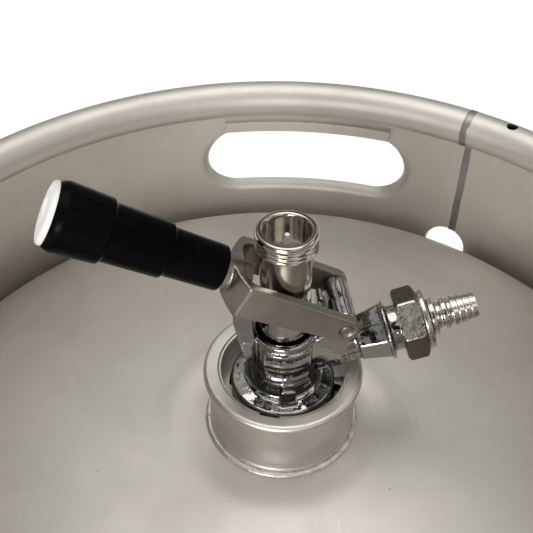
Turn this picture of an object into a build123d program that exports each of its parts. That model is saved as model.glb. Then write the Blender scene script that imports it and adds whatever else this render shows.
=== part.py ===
from build123d import *
import os
from math import acos, asin, cos, radians, sin, sqrt

# A fifty-litre steel beer keg standing on its foot ring, with a lever-operated dispense
# coupler turned into the valve in its neck.  Millimetres, +Z up.  The origin is on the
# keg's axis at the floor.  The coupler's lever and gas inlet lie in the XZ plane, the
# grip towards -X and the gas inlet towards +X.

# ---------------------------------------------------------------- keg
rim_height = 532.0              # floor to the top of the rim
rim_radius = 204.0              # outside of the rolled rims and of the rolling hoops
roll_radius = 9.85              # outside of the rolled rim's own section
chime_sheet = 1.8               # chime wall thickness
chime_radius = 202.0            # outside of the chime wall
shell_radius = 200.2            # outside of the pressure vessel
shell_sheet = 1.5
crown_radius = 480.0            # dished ends: large radius, then the knuckle
knuckle_radius = 38.0
upper_apex = 484.65             # top of the upper dished end, if it had no neck
lower_apex = 35.0               # bottom of the lower dished end
girth = 266.0                   # height of the weld that joins the two halves
hoop_rise = 3.8
hoop_half_width = 13.0
hoop_offset = 80.0              # hoops' distance from the girth weld
chime_lap = 11.2                # chime wall's overlap on the cylinder
foot_flat = 0.3                 # rolled foot's flattened depth at the floor
seam_azimuth = 51.0
seam_angle = 1.2                # the chime's weld seam, as an angle about the axis
handhold_azimuth = 78.4
handhold_width = 120.3
handhold_height = 40.0
handhold_top = 33.7             # from the rim's top down to the handhold's upper edge
hem_angle = 28.2
hem_height = 6.4
rim_drain_azimuth = 44.3
rim_drain_radius = 3.0
wall_drain_azimuth = 51.8
wall_drain_radius = 13.0
wall_drain_height = 433.6
foot_drain_radius = 7.0
foot_drain_height = 24.0

# ---------------------------------------------------------------- neck and keg valve
neck_top = 514.65
neck_bore = 25.0
neck_root_radius = 29.9
cage_radius = 20.5
lug_azimuth = 90.0
bayonet_turn = 60.0             # turn from the entry slots to the locked place
spear_foot = 52.0               # height of the spear tube's lower end

# ---------------------------------------------------------------- coupler
hinge_x = 20.8
hinge_z = neck_top + 32.4
lever_slope = 28.1              # lever's rise towards the grip when raised
arm_outer = 14.64               # half widths across the fork
arm_inner = 10.83
barrel_half_width = 10.5
hinge_pin_radius = 2.5
drive_reach = 22.0              # hinge to drive pin, along the arm
drive_pin_radius = 2.4
running_gap = 0.05
probe_radius = 9.7
probe_top = neck_top + 70.4
probe_foot = neck_top - 31.4
probe_thread_radius = 11.45
probe_thread_length = 7.0
gas_slope = 16.8
gas_root = (20.0, 0.0, neck_top + 9.9)

lever_along = (-cos(radians(lever_slope)), 0.0, sin(radians(lever_slope)))
lever_up = (sin(radians(lever_slope)), 0.0, cos(radians(lever_slope)))
lever_side = Plane(origin=(hinge_x, 0, hinge_z), x_dir=lever_along, z_dir=(0, 1, 0))
lever_plan = Plane(origin=(hinge_x, 0, hinge_z), x_dir=lever_along, z_dir=lever_up)
grip_drop = -1.2                # grip axis below the hinge, square to the lever
grip_centre = tuple(p + grip_drop * u for p, u in zip((hinge_x, 0.0, hinge_z), lever_up))
grip_turning = Plane(origin=grip_centre, x_dir=lever_up, z_dir=(0, -1, 0))
grip_cross = Plane(origin=grip_centre, x_dir=(0, 1, 0), z_dir=lever_along)
gas_along = (cos(radians(gas_slope)), 0.0, sin(radians(gas_slope)))
gas_turning = Plane(origin=gas_root, x_dir=(gas_along[2], 0, -gas_along[0]), z_dir=(0, -1, 0))
gas_cross = Plane(origin=gas_root, x_dir=(0, 1, 0), z_dir=gas_along)

os.makedirs("parts", exist_ok=True)


def save(piece, name):
    """Label a finished piece and write its STEP file."""
    piece.part.label = name
    export_step(piece.part, f"parts/{name}.step")


def radial_plane(azimuth):
    """Upright plane through the keg's axis, x pointing outwards at the azimuth."""
    a = radians(azimuth)
    return Plane(origin=(0, 0, 0), x_dir=(cos(a), sin(a), 0), z_dir=(sin(a), -cos(a), 0))


def facing_plane(azimuth, height, distance=0.0):
    """Upright plane facing outwards at the azimuth, x horizontal."""
    a = radians(azimuth)
    origin = (distance * cos(a), distance * sin(a), height)
    return Plane(origin=origin, x_dir=(-sin(a), cos(a), 0), z_dir=(cos(a), sin(a), 0))


def above_neck(outline):
    """Outline of (radius, height) whose heights are given from the neck's top face."""
    return [(radius, neck_top + height) for radius, height in outline]


def turned(outline, plane=Plane.XZ, rounding=0.0, arc=360.0):
    """Solid turned about the plane's own y axis from a closed (radius, along) outline."""
    with BuildPart() as piece:
        with BuildSketch(plane) as section:
            with BuildLine():
                Polyline(*outline, close=True)
            make_face()
            if rounding:
                fillet([v for v in section.vertices() if v.X > rounding], rounding)
        revolve(axis=Axis(plane.origin, plane.y_dir), revolution_arc=arc)
    return piece


def coil(radius, wire, low, high, turns, plane):
    """Compression spring along the plane's normal, from low to high over its wire."""
    start = low + wire
    height = high - low - 2 * wire
    along = Vector(plane.z_dir)
    centre = Vector(plane.origin) + along * start
    with BuildPart() as piece:
        with BuildLine() as path:
            Helix(pitch=height / turns, height=height, radius=radius, center=centre,
                  direction=along)
        with BuildSketch(Plane(origin=path.line @ 0, z_dir=path.line % 0)):
            Circle(wire)
        sweep(is_frenet=True)
    return piece


# ================================================================ pressure vessel
def shell_wall(inset, apex, side, hole):
    """One face of a half shell, from the crown to the girth, side +1 for the upper half."""
    crown = crown_radius - inset
    knuckle = knuckle_radius - inset
    knuckle_centre = shell_radius - knuckle_radius
    turn = asin(knuckle_centre / (crown_radius - knuckle_radius))
    crown_level = apex - side * crown_radius
    knuckle_level = crown_level + side * (crown_radius - knuckle_radius) * cos(turn)

    def on_crown(radius):
        return (radius, crown_level + side * sqrt(crown**2 - radius**2))

    def on_knuckle(angle):
        return (knuckle_centre + knuckle * sin(angle), knuckle_level + side * knuckle * cos(angle))

    join = on_knuckle(turn)
    wall = shell_radius - inset
    hoop = girth + side * hoop_offset
    ThreePointArc(on_crown(hole), on_crown((hole + join[0]) / 2), join)
    ThreePointArc(join, on_knuckle((turn + radians(90)) / 2), (wall, knuckle_level))
    hoop_start = (wall, hoop + side * hoop_half_width)
    Line((wall, knuckle_level), hoop_start)
    quarter = side * hoop_half_width / 2
    stations = [(wall + hoop_rise / 2, hoop + quarter), (wall + hoop_rise, hoop),
                (wall + hoop_rise / 2, hoop - quarter), (wall, hoop - 2 * quarter)]
    previous, heading = hoop_start, (0, -side)
    for station in stations:
        bend = TangentArc(previous, station, tangent=heading)
        previous, heading = station, bend % 1
    Line(previous, (wall, girth))
    return on_crown(hole), (wall, girth)


def half_shell(apex, side, hole):
    """Dished end and half of the barrel with its rolling hoop."""
    with BuildPart() as piece:
        with BuildSketch(Plane.XZ):
            with BuildLine():
                outer_crown, outer_girth = shell_wall(0, apex, side, hole)
                inner_crown, inner_girth = shell_wall(shell_sheet, apex, side, hole)
                Line(outer_girth, inner_girth)
                Line(outer_crown, inner_crown)
            make_face()
        revolve(axis=Axis.Z)
    return piece


def cylinder_end(apex, side):
    """Height at which the knuckle meets the barrel's straight wall."""
    turn = asin((shell_radius - knuckle_radius) / (crown_radius - knuckle_radius))
    return apex - side * (crown_radius - (crown_radius - knuckle_radius) * cos(turn))


save(half_shell(upper_apex, 1, neck_root_radius), "upper_shell")
save(half_shell(lower_apex, -1, 0.0), "lower_shell")

bead_half_width = 2.5
bead_rise = 0.9
with BuildPart() as girth_weld:
    with BuildSketch(Plane.XZ):
        with BuildLine():
            ThreePointArc((shell_radius, girth - bead_half_width),
                          (shell_radius + bead_rise, girth),
                          (shell_radius, girth + bead_half_width))
            Line((shell_radius, girth + bead_half_width), (shell_radius, girth - bead_half_width))
        make_face()
    revolve(axis=Axis.Z)
save(girth_weld, "girth_weld")


# ================================================================ chimes
def chime_section(plane, side):
    """Chime wall rolled over into the rim, open by a slit at the wall's inner face."""
    end = rim_height if side > 0 else 0.0
    sink = roll_radius if side > 0 else roll_radius - foot_flat
    roll_centre = rim_radius - roll_radius
    level = end - side * sink
    skirt = cylinder_end(upper_apex if side > 0 else lower_apex, side) - side * chime_lap
    inner_wall = chime_radius - chime_sheet
    inner_roll = roll_radius - chime_sheet
    outer_join = acos((chime_radius - roll_centre) / roll_radius)
    inner_join = acos((inner_wall - roll_centre) / inner_roll)
    free_end = radians(295)

    def on_roll(radius, angle):
        return (roll_centre + radius * cos(angle), level + side * radius * sin(angle))

    with BuildSketch(plane) as section:
        with BuildLine():
            Line((chime_radius, skirt), on_roll(roll_radius, -outer_join))
            ThreePointArc(on_roll(roll_radius, -outer_join), on_roll(roll_radius, radians(130)),
                          on_roll(roll_radius, free_end))
            Line(on_roll(roll_radius, free_end), on_roll(inner_roll, free_end))
            ThreePointArc(on_roll(inner_roll, free_end), on_roll(inner_roll, radians(130)),
                          on_roll(inner_roll, -inner_join))
            Line(on_roll(inner_roll, -inner_join), (inner_wall, skirt))
            Line((inner_wall, skirt), (chime_radius, skirt))
        make_face()
    return section


def chime(side, start, arc):
    """Part of a rolled chime from a start azimuth, with its openings."""
    with BuildPart() as piece:
        section = chime_section(radial_plane(start), side)
        revolve(section.sketch, axis=Axis.Z, revolution_arc=arc)
        if side > 0:
            centre = rim_height - handhold_top - handhold_height / 2
            with BuildSketch(facing_plane(handhold_azimuth, centre)):
                SlotOverall(handhold_width, handhold_height)
            extrude(amount=2 * rim_radius, both=True, mode=Mode.SUBTRACT)
            with BuildSketch(facing_plane(wall_drain_azimuth, wall_drain_height)):
                Circle(wall_drain_radius)
            extrude(amount=2 * rim_radius, mode=Mode.SUBTRACT)
            drain = radial_plane(rim_drain_azimuth).x_dir * (rim_radius - roll_radius)
            with BuildSketch(Plane.XY.offset(rim_height - roll_radius / 2)):
                with Locations((drain.X, drain.Y)):
                    Circle(rim_drain_radius)
            extrude(amount=roll_radius, mode=Mode.SUBTRACT)
        else:
            for azimuth in (0, 90):
                with BuildSketch(facing_plane(azimuth, foot_drain_height)):
                    Circle(foot_drain_radius)
                extrude(amount=2 * rim_radius, both=True, mode=Mode.SUBTRACT)
            split(bisect_by=Plane.XY, keep=Keep.TOP)
    return piece


seam_end = seam_azimuth + seam_angle / 2
seam_start = seam_azimuth - seam_angle / 2
save(chime(1, seam_end, 360 - seam_angle), "top_chime")
save(chime(-1, seam_end, 360 - seam_angle), "bottom_chime")
save(chime(1, seam_start, seam_angle), "top_chime_seam")
save(chime(-1, seam_start, seam_angle), "bottom_chime_seam")

weld_leg = 2.6
for side, apex, name in ((1, upper_apex, "top_chime_weld"), (-1, lower_apex, "bottom_chime_weld")):
    toe = cylinder_end(apex, side) - side * chime_lap
    fillet_weld = [(shell_radius, toe), (chime_radius, toe), (shell_radius, toe - side * weld_leg)]
    save(turned(fillet_weld), name)

hem_sheet = 1.2
hem_low = rim_height - handhold_top
hem_radius = chime_radius - chime_sheet
with BuildPart() as handhold_hems:
    for azimuth in (handhold_azimuth, handhold_azimuth + 180):
        with BuildSketch(radial_plane(azimuth - hem_angle / 2)):
            with BuildLine():
                Polyline((hem_radius - hem_sheet, hem_low), (hem_radius, hem_low),
                         (hem_radius, hem_low + hem_height),
                         (hem_radius - hem_sheet, hem_low + hem_height), close=True)
            make_face()
        revolve(axis=Axis.Z, revolution_arc=hem_angle)
save(handhold_hems, "handhold_hems")

# ================================================================ neck
neck_outline = above_neck([
    (26.2, 0), (30.9, 0), (32, -1.1), (32, -3.1), (31.4, -3.8), (29.1, -3.8), (28.3, -4.6),
    (28.3, -19.5), (30.1, -25), (30.1, -26), (29.3, -26.6), (29.3, -29.0),
    (neck_root_radius, -29.6), (neck_root_radius, -36.6), (29, -38), (22.2, -38), (22.2, -34),
    (25, -34), (25, -12.1), (25.9, -12.1), (25.9, -10.3), (25, -10.3), (25, -0.8), (25.7, -0.8)])
notch_width = 8.0
notch_depth = 3.0
notch_azimuth = 251.0
with BuildPart() as neck_fitting:
    with BuildSketch(Plane.XZ):
        with BuildLine():
            Polyline(*neck_outline, close=True)
        make_face()
    revolve(axis=Axis.Z)
    with BuildSketch(facing_plane(notch_azimuth, neck_top)):
        Rectangle(notch_width, 2 * notch_depth)
    extrude(amount=neck_bore + 1.6, mode=Mode.SUBTRACT)
save(neck_fitting, "neck_fitting")


def weld_foot(radius):
    """Point just above the dished end's crown at a radius."""
    root_gap = 0.05
    return (radius, upper_apex - crown_radius + sqrt(crown_radius**2 - radius**2) + root_gap)


with BuildPart() as neck_weld:
    weld_top = (neck_root_radius, neck_top - 29.7)
    with BuildSketch(Plane.XZ):
        with BuildLine():
            ThreePointArc(weld_top, (31.4, neck_top - 29.9), weld_foot(32.3))
            Line(weld_foot(32.3), weld_foot(neck_root_radius))
            Line(weld_foot(neck_root_radius), weld_top)
        make_face()
    revolve(axis=Axis.Z)
save(neck_weld, "neck_weld")

save(turned(above_neck([(22.4, -34), (24.8, -34), (24.8, -32), (22.4, -32)])), "neck_gasket")
save(turned(above_neck([(21.8, -12), (25.85, -12), (25.85, -10.4), (21.8, -10.4)]),
            arc=340.0), "retaining_ring")

# ================================================================ keg valve
housing_outline = above_neck([
    (20.6, -12), (24.8, -12), (24.8, -32), (20.5, -32), (20.5, -80), (9.6, -80), (9.6, -78.4),
    (18.9, -78.4), (18.9, -32), (16.5, -32), (16.5, -24), (20.6, -24), (20.6, -21), (23.2, -21),
    (23.2, -16.5), (20.6, -16.5)])
lug_half_angle = 18.0
entry_half_width = 9.0
with BuildPart() as valve_housing:
    with BuildSketch(Plane.XZ):
        with BuildLine():
            Polyline(*housing_outline, close=True)
        make_face()
    revolve(axis=Axis.Z)
    with BuildSketch(Plane.XY.offset(neck_top - 17)):
        with PolarLocations(20.6, 2, start_angle=lug_azimuth + bayonet_turn):
            Rectangle(5.2, 2 * entry_half_width)
    extrude(amount=6, mode=Mode.SUBTRACT)
    for azimuth in (0, 120, 240):
        with BuildSketch(facing_plane(azimuth, neck_top - 55)):
            SlotOverall(30, 14, rotation=90)
        extrude(amount=cage_radius + 1, mode=Mode.SUBTRACT)
save(valve_housing, "valve_housing")

save(turned(above_neck([(10, -32.4), (17.4, -32.4), (17.8, -33), (17.8, -36.4), (17.2, -36.9),
                        (10, -36.9)])), "valve_seal")
save(turned(above_neck([(5.4, -32.4), (9.9, -32.4), (9.9, -36.9), (14.5, -36.9), (14.5, -38.2),
                        (9.2, -38.2), (9.2, -66), (7.4, -66), (7.4, -40), (5.4, -36)])),
     "valve_head")
with BuildPart() as valve_ball:
    with Locations((0, 0, neck_top - 39.8)):
        Sphere(6.2)
save(valve_ball, "valve_ball")
valve_axis = Plane.XY.offset(neck_top)
save(coil(5.4, 0.45, -60, -46.1, 5.0, valve_axis), "ball_spring")
save(coil(12.6, 0.9, -78.3, -38.3, 6.5, valve_axis), "main_spring")
save(turned([(6.5, spear_foot), (7.35, spear_foot), (7.35, neck_top - 60), (6.5, neck_top - 60)]),
     "spear_tube")

# ================================================================ coupler body
body_outline = above_neck([
    (0, -22.9), (19.4, -22.9), (19.4, -10.4), (21, -9.6), (21, -6.2), (20.2, -5.4),
    (15.6, -4.6), (14.0, -3.2), (13.6, -1.5), (13.2, 4.8), (13.2, 22.4), (12.6, 23), (0, 23)])
panel_half_angle = 42.0
panel_border_angle = 6.5
boss_half_angle = 10.0
bracket_outline = [(8, 8), (22, 10), (24.5, 20), (24.8, 30), (hinge_x, 36), (17.5, 35.5),
                   (16.4, 30), (14.5, 25.5), (10, 21)]
rib_outline = [(8, -2.5), (41, 7.5), (41, 12), (24, 9), (8, 8)]
post_outline = [(-12, 9), (-14.6, 11), (-17.2, 19), (-20, 33), (-20, 43), (-13.6, 44), (-12, 22)]
post_half_width = 8.0
post_groove_half_width = 5.6
latch_sweep = 37.6              # hinge to the bottom of the groove that the plunger passes
tab_outline = [(11.7, 20), (14.3, 20), (14.3, 37), (13.6, 38.6), (12.4, 38.6), (11.7, 37)]


def upright_face(outline, half_width):
    """Plate between +Y and -Y half_width from an outline in the XZ plane."""
    with BuildSketch(Plane.XZ) as face:
        with BuildLine():
            Polyline(*above_neck(outline), close=True)
        make_face()
    extrude(face.sketch, amount=half_width, both=True)


with BuildPart() as coupler_body:
    # Guide post, with the way that the plunger sweeps between its two fins.
    upright_face(post_outline, post_half_width)
    with BuildSketch(lever_side):
        Circle(60)
        Circle(latch_sweep, mode=Mode.SUBTRACT)
    extrude(amount=post_groove_half_width, both=True, mode=Mode.SUBTRACT)
    with BuildSketch(Plane.XZ):
        with BuildLine():
            Polyline(*body_outline, close=True)
        make_face()
    revolve(axis=Axis.Z)
    for azimuth in (lug_azimuth, lug_azimuth + 180):
        # Raised frame on the drum's side, and the bayonet lug under it.
        for half_angle, low, high, inner, outer, mode in (
                (panel_half_angle, 5.2, 20.2, 12.0, 14.3, Mode.ADD),
                (panel_half_angle - panel_border_angle, 6.8, 18.6, 13.5, 16.0, Mode.SUBTRACT),
                (lug_half_angle, -20.6, -16.9, 18.0, 22.8, Mode.ADD),
                (boss_half_angle, -9.6, 3.2, 12.0, 17.2, Mode.ADD)):
            with BuildSketch(radial_plane(azimuth - half_angle)):
                with BuildLine():
                    Polyline(*above_neck([(inner, low), (outer, low), (outer, high),
                                          (inner, high)]), close=True)
                make_face()
            revolve(axis=Axis.Z, revolution_arc=2 * half_angle, mode=mode)
    upright_face(rib_outline, 4.2)
    upright_face(bracket_outline, 8.6)
    upright_face(tab_outline, 3.2)
    with BuildSketch(lever_side):
        Circle(4.7)
    extrude(amount=barrel_half_width, both=True)
    # Gas inlet: pipe, eight-sided bell, flange and threaded stub.
    with BuildSketch(gas_turning):
        with BuildLine():
            Polyline((0, -8), (5.6, -8), (5.6, 13), (9.2, 15), (9.2, 20.9), (11.9, 21.1),
                     (11.9, 22.3), (9.2, 22.7), (9.2, 32.4), (0, 32.4), close=True)
        make_face()
    revolve(axis=Axis(gas_turning.origin, gas_turning.y_dir))
    with BuildSketch(gas_cross.offset(9.5)):
        RegularPolygon(9.2, 8, rotation=22.5)
    with BuildSketch(gas_cross.offset(21.1)):
        RegularPolygon(11.5, 8, rotation=22.5)
    loft()
    # Bore for the probe, with the guide land and its seal groove, then the gas way.
    with BuildSketch(Plane.XZ):
        with BuildLine():
            Polyline(*above_neck([
                (0, -23), (14, -23), (14, -8), (probe_radius + running_gap, -5),
                (probe_radius + running_gap, 0), (11.7, 0), (11.7, 2),
                (probe_radius + running_gap, 2), (probe_radius + running_gap, 11),
                (10.8, 12.2), (10.8, 50), (0, 50)]), close=True)
        make_face()
    revolve(axis=Axis.Z, mode=Mode.SUBTRACT)
    with BuildSketch(gas_turning):
        with BuildLine():
            Polyline((0, -7), (3.6, -4), (3.6, 20), (5.2, 21), (5.2, 33), (0, 33), close=True)
        make_face()
    revolve(axis=Axis(gas_turning.origin, gas_turning.y_dir), mode=Mode.SUBTRACT)
    with BuildSketch(Plane.XY.offset(neck_top - 9)):
        with Locations((13.4, 0)):
            Circle(1.8)
    extrude(amount=17.5, mode=Mode.SUBTRACT)
    with BuildSketch(lever_side):
        Circle(hinge_pin_radius)
    extrude(amount=arm_outer, both=True, mode=Mode.SUBTRACT)
save(coupler_body, "coupler_body")

save(turned(above_neck([(15.5, -23.7), (19, -23.7), (19, -22.9), (15.5, -22.9)])), "coupler_seal")
with BuildPart() as probe_ring:
    with BuildSketch(Plane.XZ):
        with Locations((10.72, neck_top + 1)):
            Circle(0.96)
    revolve(axis=Axis.Z)
save(probe_ring, "probe_ring")

with BuildPart() as hinge_pin:
    with BuildSketch(lever_side):
        Circle(hinge_pin_radius)
    extrude(amount=arm_outer - 0.15, both=True)
    chamfer(hinge_pin.edges().filter_by(GeomType.CIRCLE), 0.35)
save(hinge_pin, "hinge_pin")

# ================================================================ gas inlet
save(turned([(5.4, 32.5), (8.7, 32.5), (8.7, 33.5), (5.4, 33.5)], gas_turning), "gas_washer")
tail_outline = [(4.0, 33.5), (8.6, 33.5), (8.6, 35.0), (6.1, 35.0), (6.1, 38.6), (7.5, 39.0),
                (7.5, 40.8), (5.4, 41.4), (5.4, 43.2), (6.3, 43.8), (6.3, 45.2), (5.4, 45.8),
                (5.4, 47.2)]
barb_count = 4
barb_pitch = 2.45
barb_start = 47.2
tail_end = barb_start + barb_count * barb_pitch
for barb in range(barb_count):
    base = barb_start + barb * barb_pitch
    tail_outline += [(5.95, base + 0.2), (5.95, base + 0.8), (4.9, base + barb_pitch)]
tail_outline += [(4.0, tail_end)]
save(turned(tail_outline, gas_turning), "gas_tailpiece")

nut_flats = 25.5
with BuildPart() as gas_nut:
    with BuildSketch(gas_cross.offset(26.4)):
        RegularPolygon(nut_flats / 2, 6, major_radius=False, rotation=39)
    extrude(amount=9.0)
    with BuildSketch(gas_turning):
        with BuildLine():
            Polyline((0, 26.4), (12.9, 26.4), (14.8, 27.5), (14.8, 34.3), (12.9, 35.4), (0, 35.4),
                     close=True)
        make_face()
    revolve(axis=Axis(gas_turning.origin, gas_turning.y_dir), mode=Mode.INTERSECT)
    with BuildSketch(gas_turning):
        with BuildLine():
            Polyline((0, 35.4), (11.0, 35.4), (11.8, 36.0), (11.8, 37.6), (11.2, 38.3), (0, 38.3),
                     close=True)
        make_face()
    revolve(axis=Axis(gas_turning.origin, gas_turning.y_dir))
    with BuildSketch(gas_turning):
        with BuildLine():
            Polyline((0, 26), (9.25, 26), (9.25, 35.1), (6.2, 35.1), (6.2, 38.5), (0, 38.5),
                     close=True)
        make_face()
    revolve(axis=Axis(gas_turning.origin, gas_turning.y_dir), mode=Mode.SUBTRACT)
save(gas_nut, "gas_nut")

# Rubber duckbill: a turned collar whose lips close to a slit towards the body.
with BuildPart() as gas_check_valve:
    with BuildSketch(gas_cross.offset(29)):
        Circle(5.1)
        Circle(3.6, mode=Mode.SUBTRACT)
    extrude(amount=3.3)
    with BuildSketch(gas_cross.offset(29)):
        Circle(4.4)
    with BuildSketch(gas_cross.offset(23)):
        Ellipse(3.6, 0.9)
    loft()
    with BuildSketch(gas_cross.offset(29)):
        Circle(3.6)
    with BuildSketch(gas_cross.offset(23)):
        Ellipse(2.8, 0.25)
    loft(mode=Mode.SUBTRACT)
save(gas_check_valve, "gas_check_valve")

# ================================================================ probe
save(turned([
    (4.0, probe_foot + 3), (4.0, probe_foot), (8.1, probe_foot), (8.1, probe_foot + 2.8),
    (probe_radius, probe_foot + 2.8), (probe_radius, neck_top + 39.95),
    (8.0, neck_top + 39.95), (8.0, neck_top + 45.65), (probe_radius, neck_top + 45.65),
    (probe_radius, probe_top - 11.6), (10.6, probe_top - probe_thread_length),
    (probe_thread_radius, probe_top - probe_thread_length), (probe_thread_radius, probe_top - 0.9),
    (10.5, probe_top), (8.9, probe_top), (8.33, probe_top - 0.5), (8.33, probe_top - 9.4),
    (6.5, probe_top - 9.4), (6.5, neck_top + 31.5), (4.0, neck_top + 26.5)]), "probe")
save(turned([(8.15, probe_foot), (9.4, probe_foot), (9.6, probe_foot + 0.4),
             (9.6, probe_foot + 2.75), (8.15, probe_foot + 2.75)]), "probe_tip_seal")

with BuildPart() as check_ball:
    with Locations((0, 0, neck_top + 31.7)):
        Sphere(5.6)
save(check_ball, "check_ball")

# Perforated disc that keeps the ball in; its flow holes lie towards the front.
retainer_top = probe_top - 6.4
with BuildPart() as ball_retainer:
    with BuildSketch(Plane.XY.offset(retainer_top - 3.0)):
        Circle(8.3)
    extrude(amount=3.0)
    with BuildSketch(Plane.XY.offset(retainer_top - 3.0)):
        with PolarLocations(5.2, 3, start_angle=210, angular_range=120, endpoint=True):
            Circle(1.7)
        Circle(1.0)
    extrude(amount=3.0, mode=Mode.SUBTRACT)
save(ball_retainer, "ball_retainer")
with BuildPart() as retainer_stem:
    with BuildSketch(Plane.XY.offset(retainer_top - 22.5)):
        Circle(0.95)
    extrude(amount=26.9)
    fillet(retainer_stem.edges().group_by(Axis.Z)[-1], 0.6)
save(retainer_stem, "retainer_stem")

# ================================================================ lever
fork_side = [(0, 4.8), (43.5, 5.3), (48, 4.6), (48, -7.6), (42, -8.8), (0, -5.6)]
fork_bend = 42.0
fork_back = 47.5
slot_end = 43.0
hub_radius = 7.0
hub_end = 56.0
plunger_flats = 9.0
pocket_clearance = 0.3
tube_radius = 5.4
with BuildPart() as lever_fork:
    with BuildSketch(lever_side):
        with BuildLine():
            Polyline(*fork_side, close=True)
        make_face()
        with Locations((0, -0.4)):
            Circle(5.2)
    extrude(amount=arm_outer, both=True)
    with BuildSketch(lever_plan):
        with BuildLine():
            Polyline((fork_bend, -arm_outer), (-8, -arm_outer), (-8, arm_outer),
                     (fork_bend, arm_outer))
            ThreePointArc((fork_bend, arm_outer), (fork_back, 0), (fork_bend, -arm_outer))
        make_face()
    extrude(amount=12, both=True, mode=Mode.INTERSECT)
    with BuildSketch(lever_plan) as slot:
        with Locations(((slot_end - 8) / 2, 0)):
            Rectangle(slot_end + 8, 2 * arm_inner)
        fillet(slot.vertices().group_by(Axis.X)[-1], 4.5)
    extrude(amount=12, both=True, mode=Mode.SUBTRACT)
    with BuildSketch(grip_cross.offset(slot_end + 1)):
        Circle(hub_radius)
    extrude(amount=hub_end - slot_end - 1)
    with BuildSketch(grip_cross.offset(slot_end - 2)):
        RegularPolygon(plunger_flats / 2 + pocket_clearance, 6, major_radius=False, rotation=30)
    extrude(amount=7.2, mode=Mode.SUBTRACT)
    with BuildSketch(grip_cross.offset(slot_end + 5)):
        Circle(tube_radius)
    extrude(amount=10, mode=Mode.SUBTRACT)
    with BuildSketch(lever_side):
        Circle(hinge_pin_radius + running_gap)
    extrude(amount=arm_outer, both=True, mode=Mode.SUBTRACT)
    with BuildSketch(lever_side):
        with Locations((drive_reach, 0)):
            Circle(drive_pin_radius)
    extrude(amount=arm_inner + 2.4, both=True, mode=Mode.SUBTRACT)
save(lever_fork, "lever_fork")

with BuildPart() as drive_pins:
    for direction in (1, -1):
        with BuildSketch(lever_side.offset(direction * 8.3)):
            with Locations((drive_reach, 0)):
                Circle(drive_pin_radius)
        extrude(amount=direction * (arm_inner + 2.4 - 8.3))
save(drive_pins, "drive_pins")

rod_radius = 2.6
save(turned([(2.7, 48.2), (tube_radius, 48.2), (tube_radius, 100), (4.6, 100), (4.6, 60),
             (2.7, 60)], grip_turning), "grip_tube")
save(turned([(2.7, 96), (4.55, 96), (4.55, 100), (2.7, 100)], grip_turning), "tube_bush")

with BuildPart() as latch_plunger:
    with BuildSketch(grip_cross.offset(38.4)):
        RegularPolygon(plunger_flats / 2, 6, major_radius=False, rotation=30)
    extrude(amount=4.8)
    with BuildSketch(grip_cross.offset(38.4)):
        Circle(rod_radius)
    extrude(amount=108 - 38.4)
    with BuildSketch(grip_cross.offset(61.5)):
        Circle(4.4)
    extrude(amount=2.0)
save(latch_plunger, "latch_plunger")
save(coil(3.6, 0.5, 63.6, 95.9, 10.0, grip_cross), "latch_spring")

save(turned([
    (7.4, 49.3), (8.0, 49.3), (8.47, 49.8), (8.83, 69.6), (9.6, 70.4), (9.95, 71.2),
    (10.4, 91.2), (11.2, 92.1), (11.55, 92.9), (12.35, 107.4), (11.9, 109.0), (10.9, 111.0),
    (9.5, 111.0), (9.5, 109.0), (2.65, 109.0), (2.65, 105), (5.46, 105), (5.46, 58), (7.4, 58)],
    grip_turning), "grip")
with BuildPart() as grip_cap:
    with BuildSketch(grip_turning):
        with BuildLine():
            Polyline((0, 109.1), (9.4, 109.1), (9.4, 111.1), (11.0, 111.1), (11.0, 112.0),
                     (10.2, 112.9), (0, 112.9), close=True)
        make_face()
    revolve(axis=Axis(grip_turning.origin, grip_turning.y_dir))
    with BuildSketch(grip_cross.offset(112.2)):
        Ellipse(6.4, 3.4)
    extrude(amount=2, mode=Mode.SUBTRACT)
save(grip_cap, "grip_cap")
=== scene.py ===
import math
import bmesh
import bpy
import numpy as np
from mathutils import Matrix, Vector, geometry, noise


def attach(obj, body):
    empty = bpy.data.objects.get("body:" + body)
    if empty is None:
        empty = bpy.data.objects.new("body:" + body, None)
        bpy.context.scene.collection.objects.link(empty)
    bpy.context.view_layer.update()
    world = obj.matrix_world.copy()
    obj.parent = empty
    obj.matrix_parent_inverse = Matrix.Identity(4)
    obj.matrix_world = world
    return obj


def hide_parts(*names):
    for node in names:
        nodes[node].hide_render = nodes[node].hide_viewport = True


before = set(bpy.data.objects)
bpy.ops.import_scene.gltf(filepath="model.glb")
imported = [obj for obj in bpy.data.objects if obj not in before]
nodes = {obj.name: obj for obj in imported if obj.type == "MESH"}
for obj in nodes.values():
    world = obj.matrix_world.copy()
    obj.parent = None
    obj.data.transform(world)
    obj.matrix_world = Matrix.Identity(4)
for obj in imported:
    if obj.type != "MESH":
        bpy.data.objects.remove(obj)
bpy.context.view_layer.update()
scene = bpy.context.scene
MM = 0.001

# ---------------------------------------------------------------- sizes, millimetres
RIM = 532.0                     # floor to the top of the rim
RIM_RADIUS = 204.0
ROLL = 9.85
SHEET = 1.8
CHIME = 202.0
SHELL = 200.2
CROWN = 480.0
KNUCKLE = 38.0
UPPER_APEX = 484.65
LOWER_APEX = 35.0
GIRTH = 266.0
NECK = 514.65                   # height of the neck's top face
SEAM = 51.0
SEAT = 11.2                     # how far a chime's skirt overlaps the barrel's straight wall
HANDHOLDS = (78.4, 258.4)       # azimuths
RIM_DRAIN = math.radians(44.3)
WALL_DRAIN = (51.8, 433.6, 13.0)    # azimuth, height and radius
HINGE = (20.8, 0.0, NECK + 32.4)
LEVER_SLOPE = math.radians(28.1)
GAS_SLOPE = math.radians(16.8)


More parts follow.
